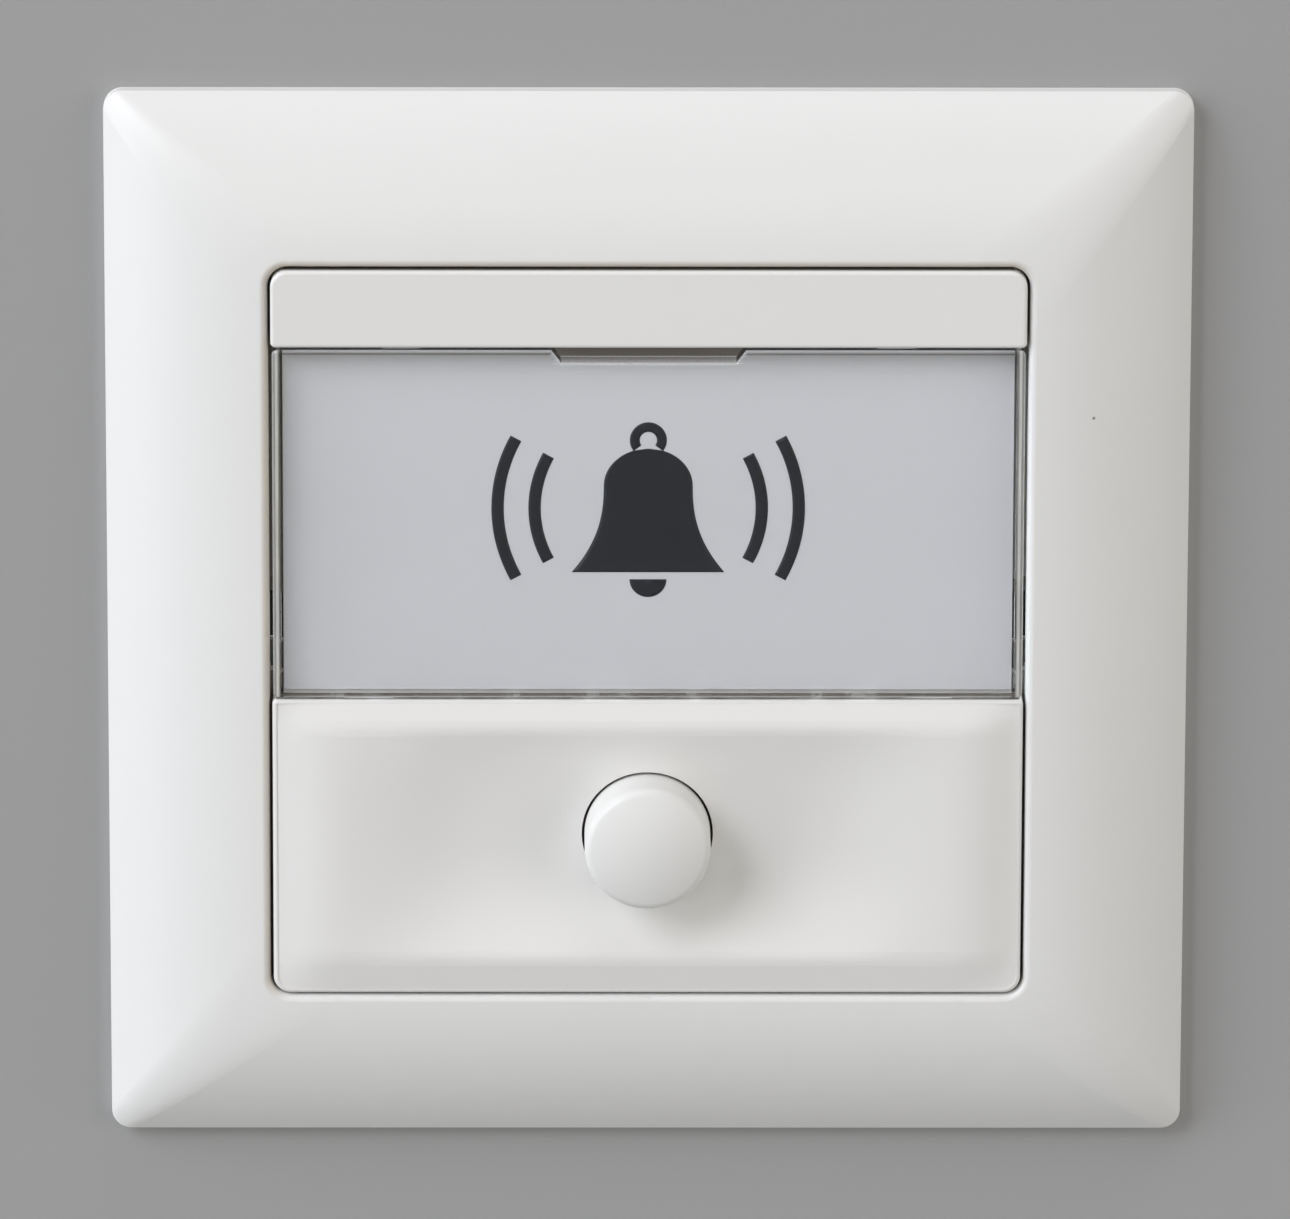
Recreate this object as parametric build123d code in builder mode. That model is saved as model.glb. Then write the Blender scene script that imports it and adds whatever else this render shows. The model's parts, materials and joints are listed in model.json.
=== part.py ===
from build123d import *
import os
from math import acos, asin, atan2, cos, hypot, pi, sin

# Doorbell plate: a flush bell push with a label window, all sizes in millimetres.
# X runs to the right, Z up, the wall is the plane Y = 0 and the front faces -Y.
# A level is a distance out from the wall, so level 5 lies at Y = -5.

# Cover frame: a thin moulded square ring with a domed face
frame_width = 88.0
frame_corner = 1.6
frame_edge = 1.2
frame_height = 6.95
frame_wall = 1.8
dome_crown = 1.4
dome_inner_corner = 6.0
dome_overrun = 1.0
dome_sections = 5
lip_round = 0.55
hollow_overrun = 0.5
skirt_wall = 1.5
ledge_thick = 1.3
ledge_lift = 1.0
ledge_grip = 0.9
rib_thick = 1.0
rib_near = 10.0
rib_far = 24.0
rib_lift = 0.25

# Mounting plate: zinc-plated sheet steel, screwed over the wall box
plate_thick = 1.2
plate_web = 10.5
plate_corner = 3.0
plate_opening_corner = 3.0
box_screw_spacing = 60.0
slot_length = 7.0
slot_width = 4.2
slot_land = 1.5
box_head_width = 7.0
box_head_room = 0.5

# Front plate: bar at the top, label platform, dished button panel below
front_width = 61.0
front_gap = 0.22
front_proud = 0.2
front_corner = 1.4
inner_corner = 0.4
edge_round = 0.3
edge_land = 0.05
front_wall = 1.5
bar_height = 6.4
window_height = 29.6
platform_thick = 1.5
crest_rise = 0.5
crest_soft = 0.65
crest_fall = 4.4
crest_bend = 1.3
rim_drop = 0.8
rim_top = 2.3
rim_bottom = 3.1
rim_side = 4.5
rim_station = 0.45
dish_depth = 1.6
dish_flat = 26.0
dish_trace = 0.015
dish_stations = 4
middle_stations = 3
dish_wall = 1.55
hook_thick = 1.5
hook_width = 7.0
hook_upper = 14.0
hook_lower_gap = 0.6
hook_catch = 0.6
hook_lead = 0.6
hook_tip = 1.1
hook_depth = 2.2
hook_play = 0.3
hook_rest = 0.1

# Label window: clear cover that tilts out about its lower edge, and the card behind it
sheet_thick = 2.0
sheet_sunk = 0.05
sheet_round = 0.25
window_gap = 0.2
window_side_gap = 0.1
return_wall = 0.6
return_play = 0.2
return_foot = 0.1
return_start = 0.5
notch_width = 15.7
notch_depth = 1.05
notch_slant = 0.8
lug_place = 22.7
lug_width = 3.6
lug_reach = 0.7
lug_thick = 0.8
lug_back = 0.3
lug_play = 0.2
bead_place = 20.0
bead_width = 3.0
bead_radius = 0.35
bead_rise = 0.14
bead_play = 0.2
card_thick = 0.25
card_play = 0.05
card_margin = 0.05
card_short = 0.5

# Push button: hollow cap with a flange that stops behind the panel
button_rise = 0.9
button_width = 10.25
button_play = 0.225
button_proud = 4.6
button_crown = 1.03
button_round = 0.9
button_wall = 1.3
flange_reach = 1.2
flange_thick = 1.2
flange_play = 0.15
collar_wall = 1.15
stem_radius = 2.4
stem_stub = 0.1
travel = 2.0

# Contact block: moulded base and cover that hold the switch behind the button
overtravel = 0.2
cover_thick = 1.5
block_height = 12.0
block_room = 1.9
block_corner = 1.2
base_wall = 0.9
base_floor = 1.2
ear_radius = 3.0
ear_thick = 1.5
boss_radius = 2.8
boss_spare = 0.3

# Switch: sprung plunger that carries a bridge onto two fixed contacts
plunger_radius = 2.0
plunger_play = 0.15
plunger_chamfer = 0.3
slider_width = 10.0
slider_height = 7.4
slider_thick = 2.45
slider_corner = 0.6
slider_play = 0.3
shoulder_play = 0.05
pin_radius = 0.8
pin_play = 0.05
pin_reach = 0.6
spring_radius = 1.875
spring_wire = 0.45
spring_pitch = 1.4
spring_play = 0.5
wire_sides = 8
well_depth = 2.35
bridge_length = 14.8
bridge_width = 3.6
bridge_thick = 0.8
bridge_corner = 0.8
bridge_play = 0.8
tip_radius = 1.4
tip_thick = 0.4
tip_margin = 0.2
tip_rest = 0.05

# Terminals: fixed contact strips with a clamp screw and square washer each
strip_thick = 0.8
strip_width = 3.6
strip_play = 0.1
washer_width = 5.6
washer_thick = 0.8
washer_corner = 0.5
chamber_play = 0.5
terminal_radius = 1.45
terminal_head = 2.6
terminal_head_height = 1.7
terminal_tail = 0.8
terminal_room = 0.4
block_screw_radius = 1.25
block_screw_head = 2.2
block_screw_head_height = 1.6
block_screw_grip = 3.0
screw_play = 0.05
screw_slot = 0.7
screw_slot_depth = 0.8
screw_chamfer = 0.4

# Levels out from the wall, from the front plane back to the rear of the block
front_level = frame_height + front_proud
button_face = front_level + button_proud
crest_level = front_level + crest_rise
rim_level = crest_level - rim_drop
ledge_top = plate_thick + ledge_lift + ledge_thick
window_front = front_level - sheet_sunk
window_rear = window_front - sheet_thick
platform_top = window_rear - card_play - card_thick
platform_rear = platform_top - platform_thick
panel_rear = crest_level - dish_depth - dish_wall
flange_rear = panel_rear - flange_thick
plunger_front = flange_rear - stem_stub
cover_front = plunger_front - travel - overtravel
cover_rear = cover_front - cover_thick
ear_rear = cover_rear - ear_thick
slider_front = cover_rear - shoulder_play
bridge_front = slider_front - slider_thick
bridge_rear = bridge_front - bridge_thick
strip_front = bridge_rear - 2 * tip_thick - travel - tip_rest
strip_rear = strip_front - strip_thick
washer_rear = strip_rear - washer_thick
spring_rear = strip_rear - well_depth
base_rear = spring_rear - base_floor

# Places across the front, measured from the middle of the plate
frame_half = frame_width / 2
front_half = front_width / 2
opening_width = front_width + 2 * front_gap
opening_half = opening_width / 2
opening_corner = front_corner + front_gap
bar_bottom = front_half - bar_height
panel_top = bar_bottom - window_height
panel_height = front_half + panel_top
panel_middle = (panel_top - front_half) / 2
button_height = panel_middle + button_rise
window_half = front_half - window_side_gap
window_top = bar_bottom - window_gap
window_bottom = panel_top + window_gap
window_middle = (window_top + window_bottom) / 2
platform_half = window_half - return_wall - return_play
button_radius = button_width / 2
flange_radius = button_radius + flange_reach
collar_radius = flange_radius + flange_play
well_radius = spring_radius + spring_wire / 2 + spring_play
cavity_width = bridge_length + 2 * bridge_play
cavity_height = slider_height + 2 * slider_play
tip_place = bridge_length / 2 - tip_radius - tip_margin
chamber_width = washer_width + 2 * chamber_play
terminal_place = cavity_width / 2 + base_wall + chamber_width / 2
block_half = terminal_place + chamber_width / 2 + base_wall
ear_place = block_half + ear_radius
hook_lower = button_height + ear_radius + hook_lower_gap + hook_width / 2
plate_opening_width = box_screw_spacing - slot_length - 2 * slot_land
plate_opening_height = 2 * (block_height / 2 - button_height + block_room)
plate_width = plate_opening_width + 2 * plate_web
plate_height = plate_opening_height + 2 * plate_web
sides = ((-1, "left"), (1, "right"))


def level(height):
    """Sketch plane at this level: local x across, local y up, extruding out from the wall."""
    return Plane.XZ.offset(height)


def block_level(height):
    """Sketch plane at this level, centred on the button's axis."""
    return Plane(origin=(0, -height, button_height), x_dir=(1, 0, 0), z_dir=(0, -1, 0))


def cross_section(side, height):
    """Level section plane at this height: local x to one side, local y out from the wall."""
    return Plane(origin=(0, 0, height), x_dir=(side, 0, 0), z_dir=(0, 0, -side))


def frame_section(turn, shift):
    """Section plane across one side of the frame: local x outwards, local y out from the wall."""
    across = Vector(cos(turn), 0, sin(turn))
    along = across.cross(Vector(0, -1, 0))
    return Plane(origin=along * shift, x_dir=across, z_dir=along)


# The dome is an arc from the upright edge to the lip, given by its crown over the chord
dome_run = frame_half - opening_half
dome_rise = frame_height - frame_edge
dome_chord = hypot(dome_run, dome_rise)
dome_radius = dome_chord**2 / (8 * dome_crown) + dome_crown / 2
dome_half_turn = asin(dome_chord / 2 / dome_radius)
lip_slope = atan2(dome_rise, dome_run) - dome_half_turn
edge_slope = atan2(dome_rise, dome_run) + dome_half_turn
dome_centre = opening_half - dome_radius * sin(lip_slope)
dome_base = frame_height - dome_radius * cos(lip_slope)
inside_slope = lip_slope - asin(dome_overrun / dome_radius)


def dome_point(slope, radius):
    """Reach from the middle and level where an arc about the dome's centre has this slope."""
    return dome_centre + radius * sin(slope), dome_base + radius * cos(slope)


# The hollow behind the dome starts below the wall plane, and ribs end inside the wall
hollow_radius = dome_radius - frame_wall
hollow_slope = acos((-hollow_overrun - dome_base) / hollow_radius)
hollow_foot = dome_point(hollow_slope, hollow_radius)
hollow_bend = dome_point((hollow_slope + inside_slope) / 2, hollow_radius)
hollow_top = dome_point(inside_slope, hollow_radius)
rib_radius = dome_radius - frame_wall / 2
rib_level = plate_thick + rib_lift
rib_slope = acos((rib_level - dome_base) / rib_radius)
rib_end = dome_point(rib_slope, rib_radius)
rib_bend = dome_point((rib_slope + lip_slope) / 2, rib_radius)
rib_top = dome_point(lip_slope, rib_radius)
rib_start = opening_half + skirt_wall / 2
skirt_top = frame_height - frame_wall / 2
skirt_width = opening_width + 2 * skirt_wall
skirt_corner = opening_corner + skirt_wall
ledge_width = front_width - 2 * ledge_grip
relief_height = box_head_width + 2 * box_head_room
relief_width = slot_length - slot_width + relief_height

os.makedirs("parts", exist_ok=True)

# Hollow behind the dome: two arched blocks crossed, so its creases run to the corners
with BuildPart() as dome_hollow:
    for turn, crossing in ((0, Mode.ADD), (pi / 2, Mode.INTERSECT)):
        with BuildSketch(frame_section(turn, 0)):
            with BuildLine():
                Polyline((0, -hollow_overrun), hollow_foot)
                ThreePointArc(hollow_foot, hollow_bend, hollow_top)
                Polyline(hollow_top, (0, hollow_top[1]))
                mirror(about=Plane.YZ)
            make_face()
        extrude(amount=frame_half, both=True, mode=crossing)

# Cover frame: domed ring whose corners soften towards the lip, hollow behind, with a
# skirt that stands on the mounting plate and a ledge that the front plate sits on
with BuildPart() as cover_frame:
    with BuildSketch(level(0)):
        RectangleRounded(frame_width, frame_width, frame_corner)
    extrude(amount=frame_edge)
    for index in range(dome_sections):
        share = index / (dome_sections - 1)
        reach, height = dome_point(edge_slope + (inside_slope - edge_slope) * share, dome_radius)
        growth = (frame_half - reach) / dome_run
        with BuildSketch(level(height)):
            RectangleRounded(
                2 * reach, 2 * reach, frame_corner + (dome_inner_corner - frame_corner) * growth
            )
    loft()
    add(dome_hollow.part, mode=Mode.SUBTRACT)
    with BuildSketch(level(plate_thick)):
        RectangleRounded(skirt_width, skirt_width, skirt_corner)
        RectangleRounded(opening_width, opening_width, opening_corner, mode=Mode.SUBTRACT)
    extrude(amount=skirt_top - plate_thick)
    with BuildSketch(level(ledge_top - ledge_thick)):
        RectangleRounded(skirt_width, skirt_width, skirt_corner)
        RectangleRounded(ledge_width, ledge_width, front_corner, mode=Mode.SUBTRACT)
    extrude(amount=ledge_thick)
    for turn in (0, pi / 2, pi, 3 * pi / 2):
        for shift in (-rib_far, -rib_near, rib_near, rib_far):
            with BuildSketch(frame_section(turn, shift)):
                with BuildLine():
                    Polyline(rib_end, (rib_start, rib_level), (rib_start, rib_top[1]), rib_top)
                    ThreePointArc(rib_top, rib_bend, rib_end)
                make_face()
    extrude(amount=rib_thick / 2, both=True)
    with BuildSketch(level(ledge_top)):
        RectangleRounded(opening_width, opening_width, opening_corner)
    extrude(amount=frame_height, mode=Mode.SUBTRACT)
    lip = cover_frame.edges(Select.LAST).filter_by(lambda edge: -edge.center().Y > skirt_top)
    fillet(lip, lip_round)
    with BuildSketch(level(plate_thick)):
        with GridLocations(box_screw_spacing, 0, 2, 1):
            Rectangle(relief_width, relief_height)
    extrude(amount=ledge_top + box_head_room - plate_thick, mode=Mode.SUBTRACT)
cover_frame.part.label = "cover_frame"
export_step(cover_frame.part, "parts/cover_frame.step")

# Mounting plate: flat square of sheet with the device opening and two screw slots
with BuildPart() as mounting_plate:
    with BuildSketch(level(0)):
        RectangleRounded(plate_width, plate_height, plate_corner)
        RectangleRounded(
            plate_opening_width, plate_opening_height, plate_opening_corner, mode=Mode.SUBTRACT
        )
        with GridLocations(box_screw_spacing, 0, 2, 1):
            SlotOverall(slot_length, slot_width, mode=Mode.SUBTRACT)
    extrude(amount=plate_thick)
mounting_plate.part.label = "mounting_plate"
export_step(mounting_plate.part, "parts/mounting_plate.step")

# The dish is full across the middle and runs out in a half cosine at each end
rim_band = edge_round + edge_land
rim_band_level = rim_level + rim_drop * rim_band / rim_bottom
dish_end = front_half - rim_side
dish_top = panel_top - rim_top
dish_bottom = rim_bottom - front_half
dish_run_out = dish_end - dish_flat / 2
dish_step = dish_run_out / dish_stations
dish_right = [dish_flat / 2 * station / middle_stations for station in range(1, middle_stations)]
dish_right += [dish_flat / 2 + dish_step * station for station in range(dish_stations + 1)]
dish_right += [dish_end + rim_station * rim_side, front_half]
dish_places = [-place for place in reversed(dish_right)] + [0] + dish_right
dish_middle = (dish_top + dish_bottom) / 2
dish_half = (dish_top - dish_bottom) / 2


def dish_sag(place):
    """Depth of the dish at this place across, with a trace left where it has run out."""
    run = min(max((abs(place) - dish_flat / 2) / dish_run_out, 0), 1)
    return dish_trace + (dish_depth - dish_trace) * (1 + cos(pi * run)) / 2


def crest_at(place):
    """Level of the dish's crests at this place across, even until they fall to the side rims."""
    run = max(abs(place) - front_half + crest_fall, 0) / crest_fall
    return crest_level - rim_drop * run**crest_bend


def dish_level(place, reach):
    """Level of the dish, an arc from crest to crest, this far above or below its middle."""
    sag = dish_sag(place)
    radius = (dish_half**2 + sag**2) / (2 * sag)
    return crest_at(place) - sag + radius - (radius**2 - reach**2) ** 0.5


# Hook profile and the levels where the hooks grow out of the plate
hook_half = plate_opening_width / 2 - hook_play
hook_nose = plate_opening_width / 2 + hook_catch
hook_roots = (
    (hook_upper, platform_top - platform_thick / 2),
    (hook_lower, panel_rear + dish_wall / 2),
)
lug_level = window_rear + lug_back
bead_level = (window_front + window_rear) / 2
bead_height = window_top + bead_rise - bead_radius

# Front plate: one moulding with the bar, the platform that the card lies on and the
# panel with its long dish, clipped through the mounting plate by four hooks
with BuildPart() as front_plate:
    for place in dish_places:
        crest = crest_at(place)
        shoulder = dish_half - crest_soft
        upper_rim = (-crest + (crest - rim_level) * crest_soft / rim_top, dish_top + crest_soft)
        lower_rim = (-crest + (crest - rim_level) * crest_soft / rim_bottom, dish_bottom - crest_soft)
        upper_shoulder = (-dish_level(place, shoulder), dish_middle + shoulder)
        lower_shoulder = (-dish_level(place, shoulder), dish_middle - shoulder)
        with BuildSketch(Plane.YZ.offset(place)):
            with BuildLine():
                Polyline(
                    lower_rim,
                    (-rim_level, -front_half),
                    (-ledge_top, -front_half),
                    (-ledge_top, panel_top),
                    (-rim_level, panel_top),
                    upper_rim,
                )
                Bezier(upper_rim, (-crest, dish_top), upper_shoulder)
                ThreePointArc(upper_shoulder, (-dish_level(place, 0), dish_middle), lower_shoulder)
                Bezier(lower_shoulder, (-crest, dish_bottom), lower_rim)
            make_face()
    loft()
    with BuildSketch(level(ledge_top)) as panel_core:
        with Locations((0, panel_middle)):
            RectangleRounded(front_width - 2 * rim_band, panel_height - 2 * rim_band, front_corner - rim_band)
        with Locations((0, panel_top - panel_height / 4 - rim_band)):
            Rectangle(front_width - 2 * rim_band, panel_height / 2)
    extrude(amount=front_level, mode=Mode.INTERSECT)
    with BuildSketch(level(ledge_top)):
        with Locations((0, panel_middle)):
            RectangleRounded(front_width, panel_height, front_corner)
        with Locations((0, panel_top - panel_height / 4)):
            RectangleRounded(front_width, panel_height / 2, inner_corner)
        add(panel_core.sketch_local, mode=Mode.SUBTRACT)
    extrude(amount=rim_band_level - ledge_top)
    rim_faces = front_plate.faces().filter_by(Axis.Y)
    rim_face = rim_faces.filter_by(lambda face: face.center().Y < -panel_rear).sort_by(SortBy.AREA)[-1]
    fillet(rim_face.outer_wire().edges(), edge_round)
    with BuildSketch(level(ledge_top)):
        with Locations((0, panel_middle)):
            Rectangle(front_width - 2 * front_wall, panel_height - 2 * front_wall)
    extrude(amount=panel_rear - ledge_top, mode=Mode.SUBTRACT)
    with BuildSketch(level(ledge_top)):
        with Locations((0, front_half - bar_height / 2)):
            RectangleRounded(front_width, bar_height, front_corner)
        with Locations((0, bar_bottom + bar_height / 4)):
            RectangleRounded(front_width, bar_height / 2, inner_corner)
    extrude(amount=front_level - ledge_top)
    fillet(front_plate.faces().filter_by(Axis.Y).sort_by(Axis.Y)[0].edges(), edge_round)
    with BuildSketch(level(ledge_top)):
        with Locations((0, front_half - bar_height / 2)):
            Rectangle(front_width - 2 * front_wall, bar_height - 2 * front_wall)
    extrude(amount=front_level - front_wall - ledge_top, mode=Mode.SUBTRACT)
    with BuildSketch(level(platform_rear)):
        with Locations((0, (bar_bottom + panel_top) / 2)):
            Rectangle(2 * platform_half, window_height + 2 * front_wall)
    extrude(amount=platform_thick)
    for height, root in hook_roots:
        for side in (-1, 1):
            with BuildSketch(cross_section(side, height)):
                with BuildLine():
                    Polyline(
                        (hook_half - hook_thick, root),
                        (hook_half, root),
                        (hook_half, -hook_rest),
                        (hook_nose, -hook_rest),
                        (hook_nose, -hook_rest - hook_lead),
                        (hook_half - hook_thick + hook_tip, -hook_depth),
                        (hook_half - hook_thick, -hook_depth),
                        close=True,
                    )
                make_face()
    extrude(amount=hook_width / 2, both=True)
    with BuildSketch(block_level(flange_rear - travel)):
        Circle(collar_radius + collar_wall)
        Circle(collar_radius, mode=Mode.SUBTRACT)
    extrude(amount=panel_rear + dish_wall / 2 - flange_rear + travel)
    with BuildSketch(block_level(cover_front)):
        with GridLocations(2 * ear_place, 0, 2, 1):
            Circle(boss_radius)
    extrude(amount=panel_rear + dish_wall / 2 - cover_front)
    with BuildSketch(block_level(cover_front)):
        with GridLocations(2 * ear_place, 0, 2, 1):
            Circle(block_screw_radius + screw_play)
    extrude(amount=block_screw_grip + boss_spare, mode=Mode.SUBTRACT)
    with BuildSketch(block_level(panel_rear)):
        Circle(button_radius + button_play)
    extrude(amount=button_face - panel_rear, mode=Mode.SUBTRACT)
    with BuildSketch(block_level(flange_rear)):
        Circle(collar_radius)
    extrude(amount=panel_rear - flange_rear, mode=Mode.SUBTRACT)
    with BuildSketch(level(lug_level - lug_play)):
        with Locations((0, panel_top)):
            with GridLocations(2 * lug_place, 0, 2, 1):
                Rectangle(lug_width + 2 * lug_play, 2 * (lug_reach + lug_play))
    extrude(amount=lug_thick + 2 * lug_play, mode=Mode.SUBTRACT)
    for side in (-1, 1):
        with BuildSketch(Plane.YZ.offset(side * bead_place)):
            with Locations((-bead_level, bead_height)):
                Circle(bead_radius + bead_play)
    extrude(amount=bead_width / 2 + bead_play, both=True, mode=Mode.SUBTRACT)
front_plate.part.label = "front_plate"
export_step(front_plate.part, "parts/front_plate.step")

# Label window: clear sheet with a return down each side, a nail notch in its top edge,
# two lugs that hook under the panel and two beads that snap under the bar
with BuildPart() as label_window:
    with BuildSketch(level(window_rear)):
        with Locations((0, window_middle)):
            RectangleRounded(2 * window_half, window_top - window_bottom, inner_corner)
        with BuildLine():
            Polyline(
                (-notch_width / 2, window_top),
                (notch_width / 2, window_top),
                (notch_width / 2 - notch_slant, window_top - notch_depth),
                (notch_slant - notch_width / 2, window_top - notch_depth),
                close=True,
            )
        make_face(mode=Mode.SUBTRACT)
    extrude(amount=sheet_thick)
    fillet(label_window.faces().sort_by(Axis.Y)[0].edges(), sheet_round)
    with BuildSketch(level(ledge_top + return_foot)):
        with Locations((0, window_middle)):
            with GridLocations(2 * window_half - return_wall, 0, 2, 1):
                Rectangle(return_wall, window_top - window_bottom - 2 * return_start)
    extrude(amount=window_rear + sheet_thick / 2 - ledge_top - return_foot)
    with BuildSketch(level(lug_level)):
        with Locations((0, window_bottom)):
            with GridLocations(2 * lug_place, 0, 2, 1):
                Rectangle(lug_width, 2 * lug_reach)
    extrude(amount=lug_thick)
    for side in (-1, 1):
        with BuildSketch(Plane.YZ.offset(side * bead_place)):
            with Locations((-bead_level, bead_height)):
                Circle(bead_radius)
    extrude(amount=bead_width / 2, both=True)
label_window.part.label = "label_window"
export_step(label_window.part, "parts/label_window.step")

# Label card: plain card that lies on the platform behind the window
with BuildPart() as label_card:
    with BuildSketch(level(platform_top)):
        with Locations((0, window_middle + card_short / 2)):
            Rectangle(2 * (platform_half - card_margin), window_height - 2 * card_margin - card_short)
    extrude(amount=card_thick)
label_card.part.label = "label_card"
export_step(label_card.part, "parts/label_card.step")

# Push button: domed cap turned about the button's axis, hollow behind round a central stem
cap_inside = button_radius - button_wall
cap_edge = button_face - button_crown
cap_roof = (button_face + cap_edge) / 2 - button_wall
crown_radius = (button_radius**2 + button_crown**2) / (2 * button_crown)
crown_bend = button_face - crown_radius + (crown_radius**2 - button_radius**2 / 4) ** 0.5
button_axis = Axis((0, 0, button_height), (0, -1, 0))
with BuildPart() as push_button:
    with BuildSketch(cross_section(1, button_height)):
        with BuildLine():
            Polyline(
                (0, button_face),
                (0, plunger_front),
                (stem_radius, plunger_front),
                (stem_radius, cap_roof),
                (cap_inside, cap_roof),
                (cap_inside, flange_rear),
                (flange_radius, flange_rear),
                (flange_radius, panel_rear),
                (button_radius, panel_rear),
                (button_radius, cap_edge),
            )
            ThreePointArc((button_radius, cap_edge), (button_radius / 2, crown_bend), (0, button_face))
        make_face()
    revolve(axis=button_axis)
    rims = push_button.edges().filter_by(lambda edge: edge.is_closed)
    fillet(rims.sort_by(Axis.Y)[0], button_round)
push_button.part.label = "push_button"
export_step(push_button.part, "parts/push_button.step")

# Plunger: round stem that the button pushes, on a slider with a pin for the bridge
with BuildPart() as plunger:
    with BuildSketch(block_level(bridge_front)):
        RectangleRounded(slider_width, slider_height, slider_corner)
    extrude(amount=slider_thick)
    with BuildSketch(block_level(bridge_front)):
        Circle(plunger_radius)
    extrude(amount=plunger_front - bridge_front)
    chamfer(plunger.faces().sort_by(Axis.Y)[0].edges(), plunger_chamfer)
    with BuildSketch(block_level(bridge_rear - pin_reach)):
        Circle(pin_radius)
    extrude(amount=bridge_thick + pin_reach)
plunger.part.label = "plunger"
export_step(plunger.part, "parts/plunger.step")

# Return spring: open coil between the floor of the well and the bridge
with BuildPart() as return_spring:
    with BuildLine() as coil:
        Helix(
            pitch=spring_pitch,
            height=bridge_rear - spring_rear - spring_wire,
            radius=spring_radius,
            center=(0, -spring_rear - spring_wire / 2, button_height),
            direction=(0, -1, 0),
        )
    with BuildSketch(Plane(origin=coil.line @ 0, z_dir=coil.line % 0)):
        RegularPolygon(spring_wire / 2, wire_sides)
    sweep(is_frenet=True)
return_spring.part.label = "return_spring"
export_step(return_spring.part, "parts/return_spring.step")

# Contact bridge: strip that joins the two fixed contacts when the button is pressed
with BuildPart() as contact_bridge:
    with BuildSketch(block_level(bridge_rear)):
        RectangleRounded(bridge_length, bridge_width, bridge_corner)
        Circle(pin_radius + pin_play, mode=Mode.SUBTRACT)
    extrude(amount=bridge_thick)
contact_bridge.part.label = "contact_bridge"
export_step(contact_bridge.part, "parts/contact_bridge.step")

# Contact cover: plate with two ears, clamped between the base and the panel's bosses
with BuildPart() as contact_cover:
    with BuildSketch(block_level(cover_rear)):
        RectangleRounded(2 * block_half, block_height, block_corner)
        SlotOverall(2 * (ear_place + ear_radius), 2 * ear_radius)
        Circle(plunger_radius + plunger_play, mode=Mode.SUBTRACT)
        with GridLocations(2 * ear_place, 0, 2, 1):
            Circle(block_screw_radius + screw_play, mode=Mode.SUBTRACT)
    extrude(amount=cover_thick)
contact_cover.part.label = "contact_cover"
export_step(contact_cover.part, "parts/contact_cover.step")

# Contact base: box with the switch cavity in front, the spring's well in its floor and
# a terminal chamber at each end that opens to the rear and downwards
chamber_top = chamber_width / 2
chamber_bottom = -block_height / 2 - base_wall
slot_start = cavity_width / 2 - base_wall
slot_end = terminal_place
with BuildPart() as contact_base:
    with BuildSketch(block_level(base_rear)):
        RectangleRounded(2 * block_half, block_height, block_corner)
    extrude(amount=cover_rear - base_rear)
    with BuildSketch(block_level(ear_rear)):
        SlotOverall(2 * (ear_place + ear_radius), 2 * ear_radius)
    extrude(amount=ear_thick)
    with BuildSketch(block_level(strip_rear)):
        Rectangle(cavity_width, cavity_height)
    extrude(amount=cover_rear - strip_rear, mode=Mode.SUBTRACT)
    with BuildSketch(block_level(spring_rear)):
        Circle(well_radius)
    extrude(amount=well_depth, mode=Mode.SUBTRACT)
    with BuildSketch(block_level(base_rear)):
        with Locations((0, (chamber_top + chamber_bottom) / 2)):
            with GridLocations(2 * terminal_place, 0, 2, 1):
                Rectangle(chamber_width, chamber_top - chamber_bottom)
    extrude(amount=strip_front - base_rear, mode=Mode.SUBTRACT)
    with BuildSketch(block_level(strip_rear)):
        with GridLocations(slot_start + slot_end, 0, 2, 1):
            Rectangle(slot_end - slot_start, strip_width + 2 * strip_play)
    extrude(amount=strip_thick, mode=Mode.SUBTRACT)
    with BuildSketch(block_level(strip_front)):
        with GridLocations(2 * terminal_place, 0, 2, 1):
            Circle(terminal_radius + terminal_room)
    extrude(amount=terminal_tail + terminal_room, mode=Mode.SUBTRACT)
    with BuildSketch(block_level(ear_rear)):
        with GridLocations(2 * ear_place, 0, 2, 1):
            Circle(block_screw_radius + screw_play)
    extrude(amount=ear_thick, mode=Mode.SUBTRACT)
contact_base.part.label = "contact_base"
export_step(contact_base.part, "parts/contact_base.step")

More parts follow.
